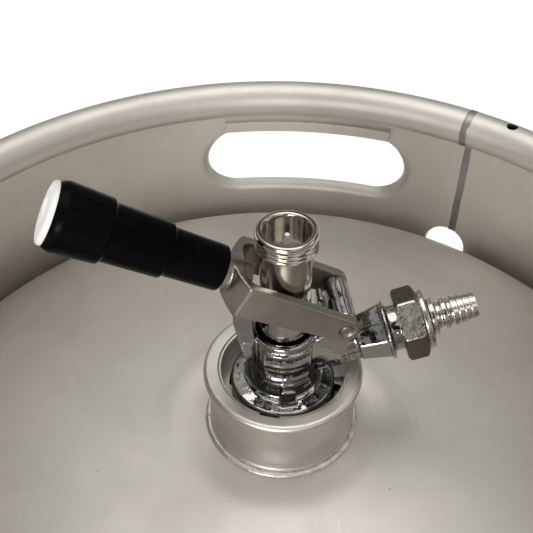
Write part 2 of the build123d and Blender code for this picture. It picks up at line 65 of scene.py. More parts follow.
def axes(origin, along):
    """Frame whose Z runs along a direction in the lever's plane and whose X is the row's Y."""
    z = Vector(along).normalized()
    x = Vector((0, 1, 0))
    y = z.cross(x)
    turn = Matrix((x, y, z)).transposed().to_4x4()
    return Matrix.Translation(Vector(origin) * MM) @ turn


LEVER_ALONG = Vector((-math.cos(LEVER_SLOPE), 0, math.sin(LEVER_SLOPE)))
LEVER_UP = Vector((math.sin(LEVER_SLOPE), 0, math.cos(LEVER_SLOPE)))
KEG_AXES = Matrix.Identity(4)
NECK_AXES = Matrix.Translation((0, 0, NECK * MM))
LEVER_AXES = axes(Vector(HINGE) - 1.2 * LEVER_UP, LEVER_ALONG)
GAS_AXES = axes((20.0, 0.0, NECK + 9.9), (math.cos(GAS_SLOPE), 0, math.sin(GAS_SLOPE)))


# ================================================================ materials
def add(tree, kind, inputs=None, **settings):
    """A shader node with its settings, and with values or links for its inputs."""
    made = tree.nodes.new(kind)
    for key, value in settings.items():
        setattr(made, key, value)
    for key, value in (inputs or {}).items():
        if isinstance(value, bpy.types.NodeSocket):
            tree.links.new(value, made.inputs[key])
        else:
            made.inputs[key].default_value = value
    return made


def maths(tree, operation, a, b=0.0, clamp=False):
    return add(tree, "ShaderNodeMath", {0: a, 1: b}, operation=operation, use_clamp=clamp).outputs[0]


def ramp(tree, value, low, high, to_low=0.0, to_high=1.0):
    """Value from low..high mapped to to_low..to_high, clamped and smooth."""
    made = add(tree, "ShaderNodeMapRange",
               {"Value": value, "From Min": low, "From Max": high,
                "To Min": to_low, "To Max": to_high},
               interpolation_type="SMOOTHSTEP", clamp=True)
    return made.outputs["Result"]


def mixed(tree, share, low, high):
    """Colour between two colours."""
    return add(tree, "ShaderNodeMix", {"Factor": share, "A": low, "B": high},
               data_type="RGBA").outputs["Result"]


def blotches(tree, where, scale, detail=4.0, roughness=0.55, distortion=0.0):
    return add(tree, "ShaderNodeTexNoise",
               {"Vector": where, "Scale": scale, "Detail": detail, "Roughness": roughness,
                "Distortion": distortion}).outputs["Fac"]


def place(tree, kind):
    """Texture coordinates: plain, round the piece's own axis, or stretched along an axis."""
    where = add(tree, "ShaderNodeTexCoord").outputs["Object"]
    if kind == "plain":
        return where
    if kind == "round":
        part = add(tree, "ShaderNodeSeparateXYZ", {0: where})
        x, y, z = part.outputs
        radius = maths(tree, "SQRT", maths(tree, "ADD", maths(tree, "MULTIPLY", x, x),
                                           maths(tree, "MULTIPLY", y, y)))
        turn = maths(tree, "ARCTAN2", y, x)
        return add(tree, "ShaderNodeCombineXYZ",
                   {0: radius, 1: maths(tree, "MULTIPLY", turn, 0.004), 2: z}).outputs[0]
    stretch = {"x": (0.03, 1, 1), "y": (1, 0.03, 1), "z": (1, 1, 0.03)}[kind]
    return add(tree, "ShaderNodeMapping", {"Vector": where, "Scale": stretch}).outputs[0]


def scratch_lines(tree, where, spin, scale, width):
    """Fine straight scratches in one direction, broken up along their length."""
    turned = add(tree, "ShaderNodeMapping",
                 {"Vector": where, "Rotation": spin,
                  "Scale": (scale, scale * 0.02, scale * 0.3)}).outputs[0]
    lines = add(tree, "ShaderNodeTexNoise",
                {"Vector": turned, "Scale": 1.0, "Detail": 1.0, "Roughness": 0.4}).outputs["Fac"]
    return ramp(tree, lines, 0.5 + width, 0.5 + width + 0.05)


def scuffs(tree, where):
    """Scratches in three directions, kept only where the finish has been rubbed."""
    lines = None
    for spin, scale in (((0.1, 0.2, 0.5), 1900.0), ((0.3, 0.1, 2.1), 1500.0),
                        ((0.2, 0.4, 1.3), 2300.0)):
        one = scratch_lines(tree, where, spin, scale, 0.2)
        lines = one if lines is None else maths(tree, "MAXIMUM", lines, one)
    return maths(tree, "MULTIPLY", lines, ramp(tree, blotches(tree, where, 26.0, 2.0), 0.5, 0.62))


def speckles(tree, where):
    """Scattered round specks, about one cell in five, of uneven size."""
    cell = add(tree, "ShaderNodeTexVoronoi", {"Vector": where, "Scale": 130.0})
    keep = add(tree, "ShaderNodeSeparateColor", {0: cell.outputs["Color"]}).outputs[0]
    size = maths(tree, "MULTIPLY", ramp(tree, keep, 0.80, 1.0), 0.075)
    spot = ramp(tree, maths(tree, "SUBTRACT", cell.outputs["Distance"], size),
                -0.03, 0.01, 1.0, 0.0)
    return maths(tree, "MULTIPLY", spot, ramp(tree, keep, 0.80, 0.84))


def stained(tree, where):
    """Broad ragged stains."""
    return ramp(tree, blotches(tree, where, 9.0, 6.0, 0.65, 1.2), 0.6, 0.75)


def surface(name, colour, rough, metallic=1.0, marks="plain", grain=900.0, grain_bump=0.0,
            tone=0.06, tone_scale=18.0, rough_spread=0.08, rough_scale=60.0, wave=0.0,
            wave_scale=120.0, scratches=0.0, specks=0.0, stains=0.0, dark=(0.3, 0.27, 0.22),
            pits=0.0, specular=0.5):
    """A finish with grain, uneven tone and gloss, and the marks that use leaves on it."""
    material = bpy.data.materials.new(name)
    material.use_nodes = True
    tree = material.node_tree
    shader = tree.nodes["Principled BSDF"]
    shader.inputs["Metallic"].default_value = metallic
    shader.inputs["Specular IOR Level"].default_value = specular
    plain = place(tree, "plain")
    along = plain if marks == "plain" else place(tree, marks)

    fine = blotches(tree, along, grain, 3.0)
    broad = blotches(tree, plain, tone_scale, 5.0, 0.6, 0.4)
    patchy = blotches(tree, plain, rough_scale, 4.0)
    low = [max(0.0, c * (1 - tone * 2.2)) for c in colour]
    high = [min(1.0, c * (1 + tone)) for c in colour]
    shade = ramp(tree, maths(tree, "ADD", maths(tree, "MULTIPLY", broad, 0.75),
                             maths(tree, "MULTIPLY", fine, 0.25)), 0.32, 0.66)
    base = mixed(tree, shade, (*low, 1), (*high, 1))
    gloss = ramp(tree, maths(tree, "ADD", maths(tree, "MULTIPLY", patchy, 0.6),
                             maths(tree, "MULTIPLY", fine, 0.4)), 0.3, 0.7,
                 max(0.02, rough - rough_spread), rough + rough_spread)
    height = maths(tree, "MULTIPLY", fine, grain_bump)
    if wave:
        height = maths(tree, "ADD", height,
                       maths(tree, "MULTIPLY", blotches(tree, plain, wave_scale, 2.0), wave))
    if scratches:
        kept = maths(tree, "MULTIPLY", scuffs(tree, plain), scratches)
        fresh = (*[min(1.0, c * 1.35) for c in colour], 1)
        base = mixed(tree, kept, base, fresh)
        gloss = maths(tree, "SUBTRACT", gloss, maths(tree, "MULTIPLY", kept, 0.16))
        height = maths(tree, "SUBTRACT", height, maths(tree, "MULTIPLY", kept, 0.25))
    for amount, spots, reach in ((specks, speckles, 0.8), (stains, stained, 0.35)):
        if amount:
            spot = spots(tree, plain)
            base = mixed(tree, maths(tree, "MULTIPLY", spot, amount * reach), base, (*dark, 1))
            gloss = maths(tree, "ADD", gloss, maths(tree, "MULTIPLY", spot, amount * 0.15))
    if pits:
        cell = add(tree, "ShaderNodeTexVoronoi", {"Vector": plain, "Scale": 900.0})
        height = maths(tree, "ADD", height,
                       maths(tree, "MULTIPLY", ramp(tree, cell.outputs["Distance"], 0.0, 0.5), pits))
    tree.links.new(base, shader.inputs["Base Color"])
    tree.links.new(maths(tree, "MAXIMUM", gloss, 0.02), shader.inputs["Roughness"])
    if grain_bump or wave or pits or scratches:
        bump = add(tree, "ShaderNodeBump", {"Height": height, "Strength": 1.0, "Distance": 0.0001})
        tree.links.new(bump.outputs["Normal"], shader.inputs["Normal"])
    return material


FINISH = {
    # Near-black, flat finish for hollows: painted shade, not the steel's own colour.
    "painted_shade_inside": surface("painted_shade_inside", (0.05, 0.045, 0.04), 0.75, metallic=0.0, grain=900,
                           grain_bump=0.3, tone=0.3, specular=0.1),
    # Darker, smoother copy of the nut's finish for every other flat: painted shade.
    "painted_shade_nickel": surface("painted_shade_nickel", (0.15, 0.135, 0.115), 0.30, grain=900, grain_bump=0.15,
                           tone=0.15, rough_spread=0.08, specks=0.5),
    "satin_shell": surface("satin_shell", (0.69, 0.66, 0.62), 0.53, grain=1500, grain_bump=0.05,
                           tone=0.035, rough_spread=0.03, scratches=0.3, specks=0.9, stains=0.2),
    "satin_chime": surface("satin_chime", (0.69, 0.665, 0.615), 0.55, grain=1300, grain_bump=0.05,
                           tone=0.03, rough_spread=0.04, scratches=0.3, specks=0.5,
                           stains=0.2),
    "brushed_seam": surface("brushed_seam", (0.30, 0.30, 0.295), 0.44, marks="z", grain=2000,
                            grain_bump=0.35, tone=0.2, rough_spread=0.06),
    "bright_weld": surface("bright_weld", (0.80, 0.775, 0.72), 0.42, grain=1400, grain_bump=0.3,
                           tone=0.14, tone_scale=240, rough_spread=0.12, pits=0.3),
    "turned_steel": surface("turned_steel", (0.70, 0.675, 0.63), 0.42, marks="round", grain=2600,
                            grain_bump=0.10, tone=0.06, rough_spread=0.07, scratches=0.4,
                            specks=0.4),
    "valve_steel": surface("valve_steel", (0.40, 0.39, 0.37), 0.24, marks="round", grain=2400,
                           grain_bump=0.08, tone=0.1, specks=0.5),
    "spring_steel": surface("spring_steel", (0.42, 0.40, 0.37), 0.22, grain=2600, grain_bump=0.06,
                            tone=0.1),
    "chrome": surface("chrome", (0.38, 0.372, 0.358), 0.05, grain=1600, grain_bump=0.03, tone=0.04,
                      rough_spread=0.03, wave=1.3, wave_scale=240, specks=0.3),
    "nickel": surface("nickel", (0.33, 0.305, 0.27), 0.36, marks="x", grain=1900, grain_bump=0.05,
                      tone=0.08, rough_spread=0.06, scratches=0.35, specks=0.4),
    "nut_nickel": surface("nut_nickel", (0.56, 0.53, 0.47), 0.24, grain=750, grain_bump=0.8,
                          tone=0.14, tone_scale=300, rough_spread=0.1, wave=0.6, wave_scale=260,
                          specks=0.7),
    "barb_nickel": surface("barb_nickel", (0.66, 0.63, 0.58), 0.17, marks="round", grain=1200,
                           grain_bump=0.03, tone=0.08, rough_spread=0.06),
    "polished_nickel": surface("polished_nickel", (0.54, 0.495, 0.44), 0.15, marks="round",
                               grain=2600, grain_bump=0.12, tone=0.08, rough_spread=0.05,
                               scratches=0.3, specks=0.2),
    "black_rubber": surface("black_rubber", (0.018, 0.018, 0.018), 0.55, metallic=0.0, grain=2200,
                            grain_bump=0.12, tone=0.2),
    "black_plastic": surface("black_plastic", (0.0025, 0.0025, 0.0028), 0.27, metallic=0.0,
                             grain=1700, grain_bump=0.10, tone=0.25, rough_spread=0.05, wave=0.35,
                             wave_scale=90, specks=0.15, dark=(0.03, 0.03, 0.03),
                             specular=0.035),
    "white_plastic": surface("white_plastic", (0.93, 0.92, 0.90), 0.38, metallic=0.0, grain=1500,
                             grain_bump=0.08, tone=0.03, specks=0.3, dark=(0.45, 0.42, 0.36)),
}


# ================================================================ mesh helpers
def smooth(obj, angle):
    """Smooth shading with edges sharper than the angle kept crisp."""
    obj.data.shade_smooth()
    obj.data.set_sharp_from_angle(angle=math.radians(angle))


def piece(mesh, name, body, slot, stands_for, place_at=KEG_AXES, angle=38):
    """A finished mesh as a piece that rides on a body and stands for CAD nodes."""
    obj = bpy.data.objects.new(name + "_skin", mesh)
    scene.collection.objects.link(obj)
    obj.matrix_world = place_at
    mesh.materials.clear()
    mesh.materials.append(FINISH[slot])
    smooth(obj, angle)
    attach(obj, body)
    if stands_for:
        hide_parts(*stands_for)
    return obj


def mesh_of(name, points, faces):
    """Mesh from points in millimetres, with doubled points joined and normals outwards."""
    mesh = bpy.data.meshes.new(name)
    mesh.from_pydata([(x * MM, y * MM, z * MM) for x, y, z in points], [], faces)
    return tidy(mesh)


def tidy(mesh):
    bm = bmesh.new()
    bm.from_mesh(mesh)
    bmesh.ops.remove_doubles(bm, verts=bm.verts, dist=0.000002)
    bmesh.ops.dissolve_degenerate(bm, edges=bm.edges, dist=0.000001)
    bmesh.ops.recalc_face_normals(bm, faces=bm.faces)
    bm.to_mesh(mesh)
    bm.free()
    return mesh


def rounded(corners, steps=4):
    """Closed outline of (radius, along, rounding) corners, each eased by its rounding."""
    outline = []
    for i, (r, z, ease) in enumerate(corners):
        here = np.array((r, z), float)
        if not ease:
            outline.append((r, z))
            continue
        ends = []
        for j in (i - 1, (i + 1) % len(corners)):
            way = np.array(corners[j][:2], float) - here
            length = np.linalg.norm(way)
            ends.append(here + way / length * min(ease, 0.46 * length))
        for t in np.linspace(0, 1, steps + 1):
            outline.append(tuple((1 - t) ** 2 * ends[0] + 2 * t * (1 - t) * here + t**2 * ends[1]))
    return outline


def split_long(outline, step):
    """Closed outline with points added so that no run is longer than the step."""
    made = []
    for i, point in enumerate(outline):
        after = outline[(i + 1) % len(outline)]
        runs = max(1, math.ceil(math.dist(point, after) / step))
        for k in range(runs):
            t = k / runs
            made.append((point[0] + t * (after[0] - point[0]), point[1] + t * (after[1] - point[1])))
    return made


def turned(name, outline, segments=96, shape=None, arc=(0.0, 360.0)):
    """Mesh turned about Z from a closed outline; shape moves a point (r, z, angle)."""
    whole = abs(arc[1] - arc[0] - 360.0) < 1e-9
    count = segments if whole else segments + 1
    angles = [math.radians(arc[0] + (arc[1] - arc[0]) * i / segments) for i in range(count)]
    points = []
    for a in angles:
        for r, z in outline:
            if shape:
                r, z = shape(r, z, a)
            points.append((r * math.cos(a), r * math.sin(a), z))
    n = len(outline)
    faces = []
    for i in range(segments):
        j = (i + 1) % count
        for k in range(n):
            m = (k + 1) % n
            faces.append((i * n + k, j * n + k, j * n + m, i * n + m))
    if not whole:
        faces.append(tuple(range(n)))
        faces.append(tuple(range((count - 1) * n, count * n)))
    return mesh_of(name, points, faces)


def waver(x, y, z):
    return noise.noise(Vector((x, y, z)))


def remeshed(name, sources, voxel, rounds, extra=None):
    """One skin over CAD nodes, with edges softened as a tumbled casting's are."""
    bm = bmesh.new()
    for source in sources:
        bm.from_mesh(nodes[source].data)
    if extra:
        extra(bm)
    bmesh.ops.remove_doubles(bm, verts=bm.verts, dist=0.000002)
    mesh = bpy.data.meshes.new(name)
    bm.to_mesh(mesh)
    bm.free()
    obj = bpy.data.objects.new(name + "_work", mesh)
    scene.collection.objects.link(obj)
    skin = obj.modifiers.new("skin", "REMESH")
    skin.mode = "VOXEL"
    skin.voxel_size = voxel * MM
    ease = obj.modifiers.new("ease", "SMOOTH")
    ease.factor = 0.5
    ease.iterations = rounds
    bpy.context.view_layer.update()
    made = bpy.data.meshes.new_from_object(obj.evaluated_get(bpy.context.evaluated_depsgraph_get()))
    made.name = name
    bpy.data.objects.remove(obj)
    return made


# ================================================================ pressure vessel
def shell_outline(inset, apex, side, hole, ease_neck):
    """Points of one face of a half shell from the neck or the middle to the girth."""
    crown = CROWN - inset
    knuckle = KNUCKLE - inset
    centre = SHELL - KNUCKLE
    turn = math.asin(centre / (CROWN - KNUCKLE))
    crown_level = apex - side * CROWN
    knuckle_level = crown_level + side * (CROWN - KNUCKLE) * math.cos(turn)
    outline = []
    for i in range(49):
        radius = hole + (centre + knuckle * math.sin(turn) - hole) * i / 48
        level = crown_level + side * math.sqrt(crown**2 - radius**2)
        if ease_neck:
            # Shallow ring that the weld's heat draws in round the neck, and its low brow.
            level -= 0.45 * math.exp(-(((radius - 36) / 5.0) ** 2))
            level += 0.35 * math.exp(-(((radius - 47) / 5.0) ** 2))
        outline.append((radius, level))
    for i in range(1, 15):
        a = turn + (math.pi / 2 - turn) * i / 14
        outline.append((centre + knuckle * math.sin(a), knuckle_level + side * knuckle * math.cos(a)))
    wall = SHELL - inset
    hoop = GIRTH + side * 80.0
    outline.append((wall, (knuckle_level + hoop + side * 13) / 2))
    for i in range(21):
        along = 13.0 * (1 - i / 10)
        rise = 3.8 * 0.5 * (1 + math.cos(math.pi * along / 13.0))
        outline.append((wall + rise, hoop + side * along))
    outline.append((wall, (hoop - side * 13 + GIRTH) / 2))
    outline.append((wall, GIRTH))
    return outline


def half_shell(name, apex, side, hole):
    outer = shell_outline(0.0, apex, side, hole, side > 0)
    inner = shell_outline(1.5, apex, side, hole, side > 0)
    return piece(turned(name, outer + inner[::-1], 288), name, "keg", "satin_shell", [name],
                 angle=50)


half_shell("upper_shell", UPPER_APEX, 1, 29.9)
half_shell("lower_shell", LOWER_APEX, -1, 0.0)


def bead(name, toe, crest, heel, slot, ripple, pitch, segments=900):
    """Ring of weld metal between a toe and a heel, rippled along its length."""
    outline = []
    for t in np.linspace(0, 1, 9):
        outline.append(tuple((1 - t) ** 2 * np.array(toe) + 2 * t * (1 - t) * np.array(crest)
                             + t**2 * np.array(heel)))
    depth = 1.2
    middle = (np.array(toe) + np.array(heel)) / 2
    sunk = middle + (middle - np.array(crest)) / np.linalg.norm(middle - np.array(crest)) * depth
    outline.append(tuple(sunk))
    lift = (np.array(crest) - middle) / np.linalg.norm(np.array(crest) - middle)

    def rippled(r, z, a):
        arc = a * r
        step = 0.5 + 0.5 * math.cos(2 * math.pi * (arc / pitch) + 1.3 * waver(arc * 0.08, 0, 3))
        rough = waver(r * math.cos(a) * 0.8, r * math.sin(a) * 0.8, z * 0.9)
        off = ripple * (step - 0.5 + 1.5 * rough)
        return r + lift[0] * off, z + lift[1] * off

    return piece(turned(name, outline, segments, rippled), name, "keg", slot, [name], angle=60)


bead("girth_weld", (SHELL, GIRTH - 2.5), (SHELL + 1.6, GIRTH), (SHELL, GIRTH + 2.5),
     "bright_weld", 0.10, 1.4)
weld_level = UPPER_APEX - CROWN + math.sqrt(CROWN**2 - 32.3**2)
bead("neck_weld", (29.8, NECK - 29.9), (31.7, NECK - 29.4), (32.4, weld_level - 0.1),
     "bright_weld", 0.07, 0.8, 1400)


# ================================================================ chimes
def cylinder_end(apex, side):
    """Height at which the knuckle meets the barrel's straight wall."""
    turn = math.asin((SHELL - KNUCKLE) / (CROWN - KNUCKLE))
    return apex - side * (CROWN - (CROWN - KNUCKLE) * math.cos(turn))


class Opening:
    """Slot or round hole cut square through the chime wall, with its lip's flare."""

    def __init__(self, azimuth, height, width, tall, flare, upper_flare):
        self.azimuth = math.radians(azimuth)
        self.height = height
        self.radius = tall / 2
        self.straight = (width - tall) / 2
        self.flare = flare
        self.upper_flare = upper_flare

    def outline(self, away, start):
        """Points (along the wall, height) of the outline at a distance away from the edge."""
        radius = self.radius + away
        steps = max(10, int(radius * 1.3))
        points = []
        for centre, turn in ((self.straight, -90), (-self.straight, 90)):
            for i in range(steps + 1):
                a = math.radians(turn + 180 * i / steps)
                points.append((centre + radius * math.cos(a), radius * math.sin(a)))
        if self.straight:
            run = int(self.straight * 2 / 3.2)
            top = [(self.straight * (1 - 2 * i / run), radius) for i in range(1, run)]
            low = [(-x, -y) for x, y in top]
            points = points[: steps + 1] + top + points[steps + 1:] + low
        else:
            points = points[:-1] if math.dist(points[-1], points[0]) < 1e-6 else points
        placed = []
        for x, y in points:
            turn = (self.azimuth + math.asin(x / CHIME) - start) % (2 * math.pi)
            placed.append((CHIME * turn, self.height + y))
        kept = []
        for p in placed:
            if not kept or math.dist(p, kept[-1]) > 0.05:
                kept.append(p)
        return kept if math.dist(kept[0], kept[-1]) > 0.05 else kept[:-1]

    def distance(self, s, z, start):
        """Distance of a point on the wall from the opening's edge, below zero inside it."""
        turn = (s / CHIME + start - self.azimuth + math.pi) % (2 * math.pi) - math.pi
        if abs(turn) > 1.2:
            return 99.0
        x = CHIME * math.sin(turn)
        x = max(0.0, abs(x) - self.straight)
        return math.hypot(x, z - self.height) - self.radius

    def push(self, s, z, start):
        """How far the sheet is pressed outwards near the edge."""
        away = self.distance(s, z, start)
        if away > 4.6:
            return 0.0
        share = min(1.0, max(0.0, 0.35 - (z - self.height) / (1.5 * self.radius)))
        flare = self.upper_flare + (self.flare - self.upper_flare) * share
        near = 1 - max(0.0, away) / 4.6
        return flare * near * near


def chime_roll(side):
    """(level of the roll's centre, outline from the outer wall round to the inner wall)."""
    end, sink = (RIM, ROLL) if side > 0 else (0.0, ROLL - 0.3)
    centre = RIM_RADIUS - ROLL
    level = end - side * sink
    inner = ROLL - SHEET
    outer_join = math.degrees(math.acos((CHIME - centre) / ROLL))
    inner_join = math.degrees(math.acos((CHIME - SHEET - centre) / inner))

    def on(radius, angle):
        a = math.radians(angle)
        z = level + side * radius * math.sin(a)
        return centre + radius * math.cos(a), max(z, 0.0)

    outline = [(CHIME, level - side * 7.0)]
    outline += [on(ROLL, a) for a in np.linspace(-outer_join, 292, 52)]
    outline += [on(ROLL - 0.25, 294.5), on(ROLL - SHEET + 0.25, 294.5)]
    outline += [on(inner, a) for a in np.linspace(292, -inner_join, 36)]
    outline += [(CHIME - SHEET, level - side * 7.0)]
    return level - side * 7.0, outline


def chime(name, apex, side, openings, drain):
    """Rolled chime with its openings, laid out flat from the side away from its seam."""
    start = math.radians(SEAM + 180.0)
    sweep = 2 * math.pi
    columns = 360
    top, roll = chime_roll(side)
    skirt = cylinder_end(apex, side) - side * SEAT
    rows = max(2, round(abs(top - skirt) / 3.6))
    length = CHIME * sweep
    flat, rims = [], []
    for i in range(columns + 1):
        for k in range(rows + 1):
            s, z = length * i / columns, skirt + (top - skirt) * k / rows
            if all(o.distance(s, z, start) > 6.0 for o in openings):
                flat.append((s, z))
    for opening in openings:
        for away in (5.0, 3.9, 2.9, 2.0, 1.2, 0.55):
            flat += [p for p in opening.outline(away, start)
                     if min(skirt, top) + 0.3 < p[1] < max(skirt, top) - 0.3]
        loop = opening.outline(0.0, start)
        rims += [(len(flat) + i, len(flat) + (i + 1) % len(loop)) for i in range(len(loop))]
        flat += loop
    found = geometry.delaunay_2d_cdt([Vector(p) for p in flat], rims, [], 0, 1e-5)
    flat = [(p[0], p[1]) for p in found[0]]
    walls = [f for f in found[2] if all(
        o.distance(sum(flat[v][0] for v in f) / 3, sum(flat[v][1] for v in f) / 3, start) > -0.01
        for o in openings)]

    def on_wall(s, z, radius):
        out = max((o.push(s, z, start) for o in openings), default=0.0)
        a = start + s / CHIME
        return (radius + out) * math.cos(a), (radius + out) * math.sin(a), z

    points = [on_wall(s, z, CHIME) for s, z in flat]
    points += [on_wall(s, z, CHIME - SHEET) for s, z in flat]
    count = len(flat)
    faces = [tuple(f) for f in walls] + [tuple(v + count for v in reversed(f)) for f in walls]
    uses = {}
    for f in walls:
        for a, b in zip(f, f[1:] + f[:1]):
            uses.setdefault(frozenset((a, b)), []).append((a, b))
    middles = {}
    for edge in uses.values():
        if len(edge) > 1:
            continue
        a, b = edge[0]
        if all(abs(flat[v][1] - top) < 1e-3 for v in (a, b)):
            continue
        if all(min(flat[v][0], length - flat[v][0]) < 1e-3 for v in (a, b)):
            continue
        near = [o for o in openings if all(abs(o.distance(*flat[v], start)) < 0.05 for v in (a, b))]
        if not near:
            faces.append((a, b, b + count, a + count))
            continue
        for v in (a, b):
            if v not in middles:
                s, z = flat[v]
                o = near[0]
                turn = (s / CHIME + start - o.azimuth + math.pi) % (2 * math.pi) - math.pi
                x = CHIME * math.sin(turn)
                core = max(-o.straight, min(o.straight, x))
                to = Vector((core - x, o.height - z)).normalized() * 0.75
                middles[v] = len(points)
                points.append(on_wall(s + to[0], z + to[1], CHIME - SHEET / 2))
        faces.append((a, b, middles[b], middles[a]))
        faces.append((middles[a], middles[b], b + count, a + count))
    base = len(points)
    n = len(roll)
    for i in range(columns + 1):
        a = start + sweep * i / columns
        points += [(r * math.cos(a), r * math.sin(a), z) for r, z in roll]
    for i in range(columns):
        for k in range(n - 1):
            p = base + i * n + k
            faces.append((p, p + n, p + n + 1, p + 1))
    mesh = mesh_of(name, points, faces)
    if drain:
        at = Vector((math.cos(RIM_DRAIN), math.sin(RIM_DRAIN), 0)) * (RIM_RADIUS - ROLL)
        mesh = drilled(mesh, at, 3.0, RIM - 6.0, RIM + 3.0)
    made = piece(mesh, name, "keg", "satin_chime", [name], angle=42)
    # The hollow of the rolled rim and the bore of the rim drain take the near-black finish: painted
    # shade.
    mesh.materials.append(FINISH["painted_shade_inside"])
    centre = (RIM_RADIUS - ROLL, (RIM - ROLL) if side > 0 else ROLL - 0.3)
    hole = Vector((math.cos(RIM_DRAIN), math.sin(RIM_DRAIN))) * centre[0]
    for face in mesh.polygons:
        at = face.center / MM
        in_roll = math.hypot(at.to_2d().length - centre[0], at.z - centre[1]) < ROLL - SHEET + 0.2
        in_hole = drain and (at.to_2d() - hole).length < 3.1 and abs(face.normal.z) < 0.3
        if in_roll or in_hole:
            face.material_index = 1
    return made


def drilled(mesh, centre, radius, low, high):
    """The mesh with an upright round hole cut through it."""
    cutter = turned("cutter", [(0, low), (radius, low), (radius, high - 3.1), (radius, high),
                               (0, high)], 32)
    for v in cutter.vertices:
        v.co += Vector(centre) * MM
    tool = bpy.data.objects.new("cutter", cutter)
    work = bpy.data.objects.new("work", mesh)
    scene.collection.objects.link(tool)
    scene.collection.objects.link(work)
    cut = work.modifiers.new("cut", "BOOLEAN")
    cut.object = tool
    cut.operation = "DIFFERENCE"
    cut.solver = "EXACT"
    bpy.context.view_layer.update()
    made = bpy.data.meshes.new_from_object(work.evaluated_get(bpy.context.evaluated_depsgraph_get()))
    bpy.data.objects.remove(work)
    bpy.data.objects.remove(tool)
    return made


handholds = [Opening(a, RIM - 53.7, 120.3, 40.0, 4.2, 0.3) for a in HANDHOLDS]
wall_drain = Opening(WALL_DRAIN[0], WALL_DRAIN[1], 26.0, 26.0, 0.0, 0.0)
foot_drains = [Opening(a, 24.0, 14.0, 14.0, 0.5, 0.5) for a in (0, 90, 180, 270)]
chime("top_chime", UPPER_APEX, 1, handholds + [wall_drain], True)
chime("bottom_chime", LOWER_APEX, -1, foot_drains, False)


def seam_run(outline, side):
    """Planished weld strip over one closed outline, standing a hair proud of the sheet."""
    steps = 14
    points = []
    for i in range(steps + 1):
        t = 2 * i / steps - 1
        proud = 0.16 * math.sqrt(max(0.0, 1 - t**4))
        for k, (r, z) in enumerate(outline):
            before, after = outline[k - 1], outline[(k + 1) % len(outline)]
            way = np.array((after[0] - before[0], after[1] - before[1]))
            way = way / max(np.linalg.norm(way), 1e-9)
            wide = 0.62 + 0.10 * waver(z * 0.12, t * 0.3, 5) + 0.05 * waver(z * 0.5, t, 9)
            a = math.radians(SEAM + t * wide)
            rr, zz = r + way[1] * proud * side, z - way[0] * proud * side
            points.append((rr * math.cos(a), rr * math.sin(a), max(zz, 0.0)))
    n = len(outline)
    faces = []
    for i in range(steps):
        for k in range(n):
            m = (k + 1) % n
            p, q = i * n, (i + 1) * n
            faces.append((p + k, q + k, q + m, p + m))
    faces.append(tuple(range(n)))
    faces.append(tuple(range(steps * n, steps * n + n)))
    return mesh_of("seam_run", points, faces)


def seam(name, apex, side, hole=None):
    """Seam strip across a chime, broken where a hole cuts through it."""
    _, roll = chime_roll(side)
    skirt = cylinder_end(apex, side) - side * SEAT
    foot = hole[1] if hole else skirt
    outlines = [[(CHIME, foot)] + roll + [(CHIME - SHEET, foot)]]
    if hole:
        outlines.append([(CHIME, skirt), (CHIME, hole[0]), (CHIME - SHEET, hole[0]),
                         (CHIME - SHEET, skirt)])
    bm = bmesh.new()
    for outline in outlines:
        run = seam_run(split_long(outline, 2.5), side)
        bm.from_mesh(run)
        bpy.data.meshes.remove(run)
    mesh = bpy.data.meshes.new(name)
    bm.to_mesh(mesh)
    bm.free()
    return piece(mesh, name, "keg", "brushed_seam", [name], angle=50)


seam("top_chime_seam", UPPER_APEX, 1, (WALL_DRAIN[1] - 12.6, WALL_DRAIN[1] + 12.6))
seam("bottom_chime_seam", LOWER_APEX, -1)

for name, apex, side in (("top_chime_weld", UPPER_APEX, 1), ("bottom_chime_weld", LOWER_APEX, -1)):
    toe = cylinder_end(apex, side) - side * SEAT
    bead(name, (CHIME - 0.1, toe), (SHELL + 1.3, toe - side * 1.5), (SHELL, toe - side * 2.9),
         "bright_weld", 0.10, 1.5)


def hems():
    """Folded strips inside the wall above the handholds."""
    bm = bmesh.new()
    for azimuth in HANDHOLDS:
        outline = rounded([(196.9, 498.4, 0.4), (200.25, 498.4, 0), (200.25, 504.9, 0),
                           (196.9, 504.9, 0.3)])
        made = turned("hem", split_long(outline, 1.0), 60, None, (azimuth - 14.1, azimuth + 14.1))
        bm.from_mesh(made)
        bpy.data.meshes.remove(made)
    mesh = bpy.data.meshes.new("handhold_hems")
    bm.to_mesh(mesh)
    bm.free()
    return piece(mesh, "handhold_hems", "keg", "satin_chime", ["handhold_hems"], angle=40)


hems()

# ================================================================ neck
neck_corners = [
    (26.2, 0, 0.25), (30.9, 0, 0.9), (32, -1.1, 0.7), (32, -3.1, 0.5), (31.4, -3.8, 0.4),
    (29.1, -3.8, 0.7), (28.3, -4.6, 0.7), (28.3, -19.5, 1.5), (30.1, -25, 0.8), (30.1, -26, 0.3),
    (29.3, -26.6, 0.3), (29.3, -29.0, 0.3), (29.9, -29.6, 0.2), (29.9, -36.6, 0), (29, -38, 0),
    (22.2, -38, 0), (22.2, -34, 0), (25, -34, 0), (25, -12.1, 0), (25.9, -12.1, 0),
    (25.9, -10.3, 0), (25, -10.3, 0), (25, -0.8, 0.15), (25.7, -0.8, 0.12)]


def notched(r, z, a):
    """Opens the small notch in the neck's inner edge."""
    across = 26.0 * math.sin(a - math.radians(251.0))
    facing = math.cos(a - math.radians(251.0)) > 0
    if facing and abs(across) < 4.0 and -3.05 < z and r < 26.6:
        r = 26.6
    return r, z


neck_outline = split_long(rounded(neck_corners), 1.0)
piece(turned("neck_fitting", neck_outline, 540, notched), "neck_fitting", "keg", "turned_steel",
      ["neck_fitting"], NECK_AXES, 35)

